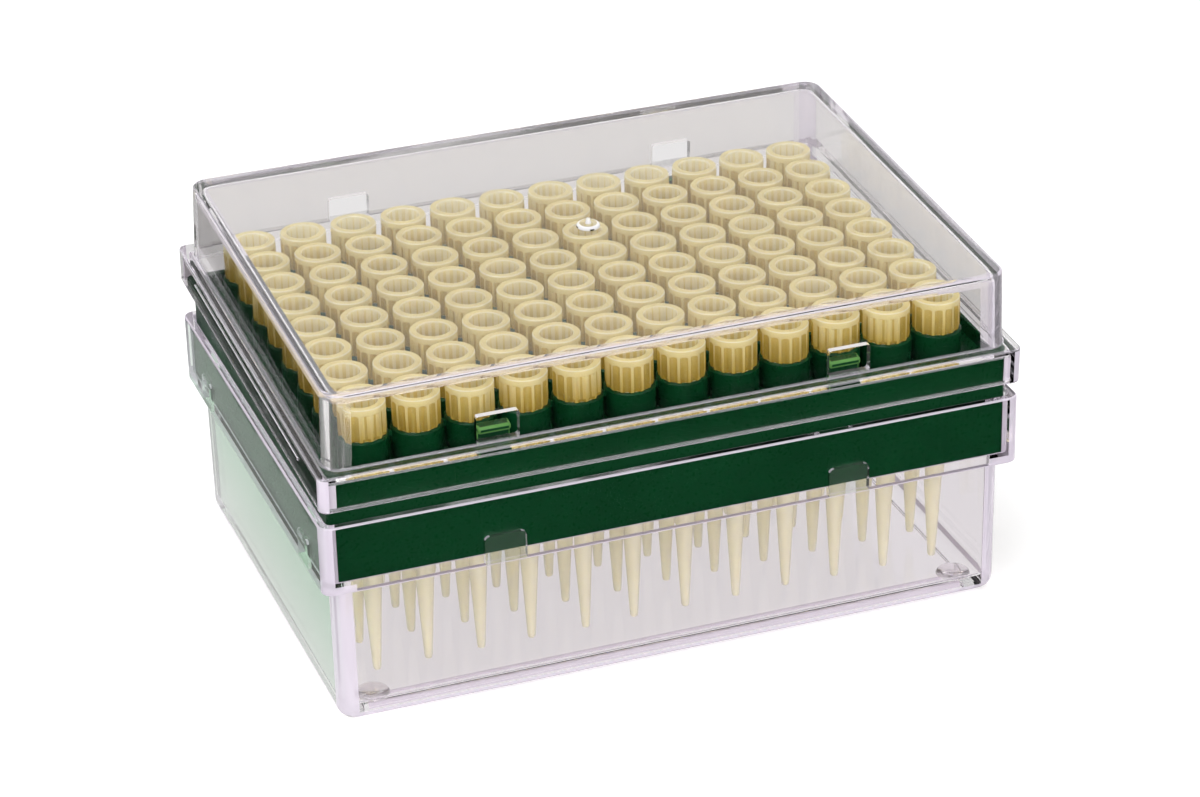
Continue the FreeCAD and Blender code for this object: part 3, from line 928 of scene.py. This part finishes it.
def make_tray():
    mesh = copies(make_cell(), grid_places())
    bmesh.ops.remove_doubles(mesh, verts=mesh.verts, dist=0.001)
    border = [edge for edge in mesh.edges if edge.is_boundary]
    edges = [edge for edge in border if edge.verts[0].co.z > deck_bottom + NEAR]
    half_length = (tray_high.x - tray_low.x) / 2
    half_width = (tray_high.y - tray_low.y) / 2
    inner = (half_length - TRAY_WALL, half_width - TRAY_WALL)
    outer = (half_length, half_width)
    for outline, height in [(inner, deck_top), (inner, tray_top), (outer, tray_top), (outer, ledge_top),
                            (inner, ledge_top), (inner, deck_bottom),
                            ((COLUMNS * PITCH / 2, ROWS * PITCH / 2), deck_bottom)]:
        edges = border_step(mesh, edges, *outline, height)
    bmesh.ops.remove_doubles(mesh, verts=mesh.verts, dist=0.001)
    corners = [edge for edge in mesh.edges if all(abs(vert.co.x) > half_length - NEAR for vert in edge.verts)
               and all(abs(vert.co.y) > half_width - NEAR for vert in edge.verts)]
    round_edges(mesh, corners, TRAY_CORNER_RADIUS, 4)
    bmesh.ops.recalc_face_normals(mesh, faces=mesh.faces)
    append(mesh, make_webs())
    return finished_object(mesh, "tray", tray_plastic)


dress(make_tray(), "tray", "green_tray", "tip_tray")
hooks = finished_object(make_hooks(), "tray_hooks", tray_plastic, hook_painted_highlight_plastic)
# The hooks' rounded edges get the painted highlight.
repaint(hooks, (1, on_an_edge))
dress(hooks, "tray", "green_tray", "tip_tray")

# %% [markdown]
# ## The tips
# A tip is one thin-walled turned form, open at both ends, so one ring of edges is led
# round its whole section and joined to itself: down the outside of the head, along the
# tapering body, round the end and back up the bore. The head has fourteen upright ribs,
# so four points are spent on each: two stay out on the rib and two are drawn in.
# Each tip hangs a little out of true, so every copy gets its own turn and lean.

# %% Tips
RIBS = 14
POINTS_PER_RIB = 4
HEAD_RADIUS = 3.95
GROOVE_RADIUS = 3.6
RIM_ROUND = 0.15
SMOOTH_RIM = 1.0
RIB_RUN_IN = 0.25  # height over which the grooves deepen below the smooth rim
RIB_RUN_OUT = 0.5  # height over which they end above the head's underside
BORE_RADIUS = 2.7
BODY_TOP_RADIUS = 3.15
END_RADIUS = 0.6
END_CHAMFER = 0.1
END_TAPER = 0.08
END_LENGTHS = (0.6, 0.12)  # lengths of the two last tapers at its end
ORIFICE_RADIUS = 0.3
LEVEL_TILT = 0.95  # a face of a tip that faces up more than this is level
STEEP_TILT = 0.4  # and one that faces up less than this is upright
# The bore's pale streaks are painted light, standing for light refracted by the ribs.
STREAK_SHARE = 0.6  # share of the bore that its pale streaks cover
LEAN = math.radians(0.45)


def make_tip_mesh():
    mesh = bmesh.new()
    head_bottom = -HEAD_HEIGHT
    length = tip_rim - tip_end
    bmesh.ops.create_circle(mesh, segments=RIBS * POINTS_PER_RIB, radius=BORE_RADIUS + RIM_ROUND)
    start = mesh.edges[:]
    head = [(HEAD_RADIUS - RIM_ROUND, 0, False), (HEAD_RADIUS, -RIM_ROUND, False),
            (HEAD_RADIUS, -SMOOTH_RIM, False), (HEAD_RADIUS, -SMOOTH_RIM - RIB_RUN_IN, True),
            (HEAD_RADIUS, head_bottom + RIB_RUN_OUT, True), (HEAD_RADIUS - END_CHAMFER, head_bottom, True)]
    body = [(BODY_TOP_RADIUS, head_bottom, False), (END_RADIUS + END_TAPER, END_LENGTHS[0] - length, False),
            (END_RADIUS, END_LENGTHS[1] - length, False), (END_RADIUS - END_CHAMFER, -length, False),
            (ORIFICE_RADIUS, -length, False), (BORE_RADIUS, -RIM_ROUND, False)]
    edges = start
    for radius, height, ribbed in head + body:
        edges = ring_step(mesh, edges, radius, height)
        if ribbed:
            depth = HEAD_RADIUS - GROOVE_RADIUS
            for vert in {vert for edge in edges for vert in edge.verts}:
                point = round(math.atan2(vert.co.y, vert.co.x) / math.tau * RIBS * POINTS_PER_RIB)
                if point % POINTS_PER_RIB in (2, 3):
                    vert.co.xy *= (vert.co.xy.length - depth) / vert.co.xy.length
    bmesh.ops.bridge_loops(mesh, edges=edges + start)
    return mesh


def hang(place, chance):
    """A placing matrix for one tip, turned and leaning by its own small amounts."""
    turn = Matrix.Rotation(chance.uniform(0, math.tau), 4, "Z")
    heading = chance.uniform(0, math.tau)
    lean = Matrix.Rotation(chance.uniform(0, LEAN), 4, Vector((math.cos(heading), math.sin(heading), 0)))
    return Matrix.Translation(place + Vector((0, 0, tip_rim))) @ lean @ turn


def from_axis(middle):
    """How far a point is from the axis of the nearest tip."""
    return math.hypot((middle.x / PITCH % 1 - 0.5) * PITCH, (middle.y / PITCH % 1 - 0.5) * PITCH)


def with_a_painted_highlight(normal, middle):
    """The narrow rounds of a head's rim and streaks in its bore, painted paler as painted highlights."""
    round_edge = STEEP_TILT < abs(normal.z) < LEVEL_TILT and middle.z > tip_rim - SMOOTH_RIM
    turn = math.atan2(normal.y, normal.x) / math.tau * RIBS
    streak = from_axis(middle) < BORE_RADIUS + CUT_TOLERANCE and turn % 1 < STREAK_SHARE
    return round_edge or streak


def on_top(normal, middle):
    """The flat ring on top of a head, painted the deeper groove yellow as painted shade."""
    return normal.z > LEVEL_TILT and middle.z > tip_rim - SMOOTH_RIM


def in_a_groove(normal, middle):
    """The bottoms of the grooves between the ribs, painted a deeper yellow as painted shade."""
    inner = (BODY_TOP_RADIUS + GROOVE_RADIUS) / 2
    outer = (GROOVE_RADIUS + HEAD_RADIUS) / 2
    return inner < from_axis(middle) < outer and abs(normal.z) < STEEP_TILT


chance = random.Random(12)
places = grid_places()
for first in range(0, len(places), TIPS_PER_NODE):
    column, row = divmod(first, ROWS)
    node = f"tips_column_{column + 1:02d}_row_{row + 1}"
    group = copies(make_tip_mesh(), [hang(place, chance) for place in places[first:first + TIPS_PER_NODE]])
    tips = finished_object(group, node + "_moulded", tip_plastic, tip_painted_highlight_plastic, tip_painted_shade_plastic)
    # Painted highlights on the rims and bore streaks; painted shade in the grooves and on the flat tops.
    repaint(tips, (1, with_a_painted_highlight), (2, in_a_groove), (2, on_top))
    dress(tips, "tray", "yellow_tip", node)

# %% [markdown]
# ## Floor and background
# The box stands on a plain white table in a white room. Camera, mirror and see-through
# rays meet plain white in the room, while the light that it casts on the box is kept at a
# level where its colours look as written. The table is lifted towards white for the
# camera, and looks plain and pale through clear plastic.

# %% Floor and background
FLOOR_SIZE = 4.0  # in metres
FLOOR_LIFT = 0.2  # how much light the camera sees the table give off
FLOOR_PALENESS = 0.82  # how bright the table looks through clear plastic
FLOOR_SEEN_THROUGH = 0.95  # how much of the floor's shadow clear plastic hides
ROOM_LIGHT = 0.8  # how bright the room is where it lights the box

floor_mesh = bmesh.new()
bmesh.ops.create_grid(floor_mesh, x_segments=1, y_segments=1, size=FLOOR_SIZE / 2)
floor = new_object("floor", kept(floor_mesh, "floor"))
floor_material, tree = new_material("matt_white_table")
matt = add_node(tree, "ShaderNodeBsdfDiffuse", {}, {"Color": linear("#f4f4f4")})
ray = add_node(tree, "ShaderNodeLightPath")
lift = add_node(tree, "ShaderNodeMath", {"operation": "MULTIPLY"}, {1: FLOOR_LIFT},
                {0: ray.outputs["Is Camera Ray"]})
glow = add_node(tree, "ShaderNodeEmission", {}, {"Color": linear("#ffffff")}, {"Strength": lift})
lifted = add_node(tree, "ShaderNodeAddShader", {}, {}, {0: matt, 1: glow})
plain = add_node(tree, "ShaderNodeEmission", {}, {"Color": linear("#ffffff"), "Strength": FLOOR_PALENESS})
through = add_node(tree, "ShaderNodeMath", {"operation": "MULTIPLY"}, {1: FLOOR_SEEN_THROUGH},
                   {0: ray.outputs["Is Transmission Ray"]})
mix = add_node(tree, "ShaderNodeMixShader", {}, {}, {0: through, 1: lifted, 2: plain})
add_node(tree, "ShaderNodeOutputMaterial", {}, {}, {"Surface": mix})
floor.data.materials.append(floor_material)

world = bpy.data.worlds.new("white_room")
bpy.context.scene.world = world
world.use_nodes = True
tree = world.node_tree
tree.nodes.clear()
ray = add_node(tree, "ShaderNodeLightPath")
seen = ray.outputs["Is Camera Ray"]
for kind in ("Is Transmission Ray", "Is Glossy Ray"):
    seen = add_node(tree, "ShaderNodeMath", {"operation": "MAXIMUM"}, {}, {0: seen, 1: ray.outputs[kind]})
soft = add_node(tree, "ShaderNodeBackground", {}, {"Color": linear("#ffffff"), "Strength": ROOM_LIGHT})
white = add_node(tree, "ShaderNodeBackground", {}, {"Color": linear("#ffffff"), "Strength": 1.0})
mix = add_node(tree, "ShaderNodeMixShader", {}, {}, {0: seen, 1: soft, 2: white})
add_node(tree, "ShaderNodeOutputWorld", {}, {}, {"Surface": mix})

# %% [markdown]
# ### Black cards
# The upright front walls mirror the table before the box, once on their face and once
# more on their back. A black card lies there, and a narrow one lies where the left sides
# of the band and the lid mirror the table. They are black only for light that has been
# mirrored on its way, so nothing else sees them, and the walls stay clear.

# %% Black cards
CARD_HEIGHT = 0.2 * MM
CARDS = [((0, -0.347), (0.8, 0.6)), ((-0.103, 0.05), (0.052, 0.26))]  # middle and size, in metres

card_mesh = bmesh.new()
for middle, size in CARDS:
    bmesh.ops.create_grid(card_mesh, x_segments=1, y_segments=1, size=0.5,
                          matrix=Matrix.Translation((*middle, CARD_HEIGHT)) @ Matrix.Diagonal((*size, 1, 1)))
card = new_object("black_card", kept(card_mesh, "black_card"))
card_material, tree = new_material("black_velvet")
velvet = add_node(tree, "ShaderNodeBsdfDiffuse", {}, {"Color": linear("#101010")})
unseen = add_node(tree, "ShaderNodeBsdfTransparent")
ray = add_node(tree, "ShaderNodeLightPath")
mix = add_node(tree, "ShaderNodeMixShader", {}, {}, {0: ray.outputs["Glossy Depth"], 1: unseen, 2: velvet})
add_node(tree, "ShaderNodeOutputMaterial", {}, {}, {"Surface": mix})
card.data.materials.append(card_material)
for ray_kind in ("camera", "diffuse", "shadow", "volume_scatter"):
    setattr(card, "visible_" + ray_kind, False)

# %% [markdown]
# ### Lamps
# Three square soft lamps shape the box: a key from above the left, a weak fill from the
# right, and a low one in front that lights the tips through the walls.

# %% Lamps
LAMP_AIM = Vector((0, 0, 0.03))  # the middle of the box, in metres


def add_lamp(name, place, size, power):
    """A square soft lamp that faces the middle of the box; its place and size are in metres."""
    lamp = new_object(name, bpy.data.lights.new(name, "AREA"))
    lamp.data.energy = power
    lamp.data.size = size
    lamp.location = place
    lamp.rotation_mode = "QUATERNION"
    lamp.rotation_quaternion = (LAMP_AIM - lamp.location).to_track_quat("-Z", "Y")


add_lamp("key", Vector((-0.35, -0.15, 0.95)), size=0.8, power=5.3)
add_lamp("fill", Vector((0.7, -0.4, 0.4)), size=0.6, power=0.8)
add_lamp("low", Vector((-0.1, -0.9, 0.14)), size=0.5, power=3.3)
bpy.context.scene.view_settings.view_transform = "Standard"

# %% [markdown]
# ### Light paths
# Light that leaves a tip for the camera crosses up to a dozen clear faces, and light on
# its way from a lamp crosses as many more, so the paths may be long.

# %% Light paths
MOST_BOUNCES = 32
paths = bpy.context.scene.cycles
paths.max_bounces = MOST_BOUNCES
paths.transmission_bounces = MOST_BOUNCES
paths.transparent_max_bounces = MOST_BOUNCES
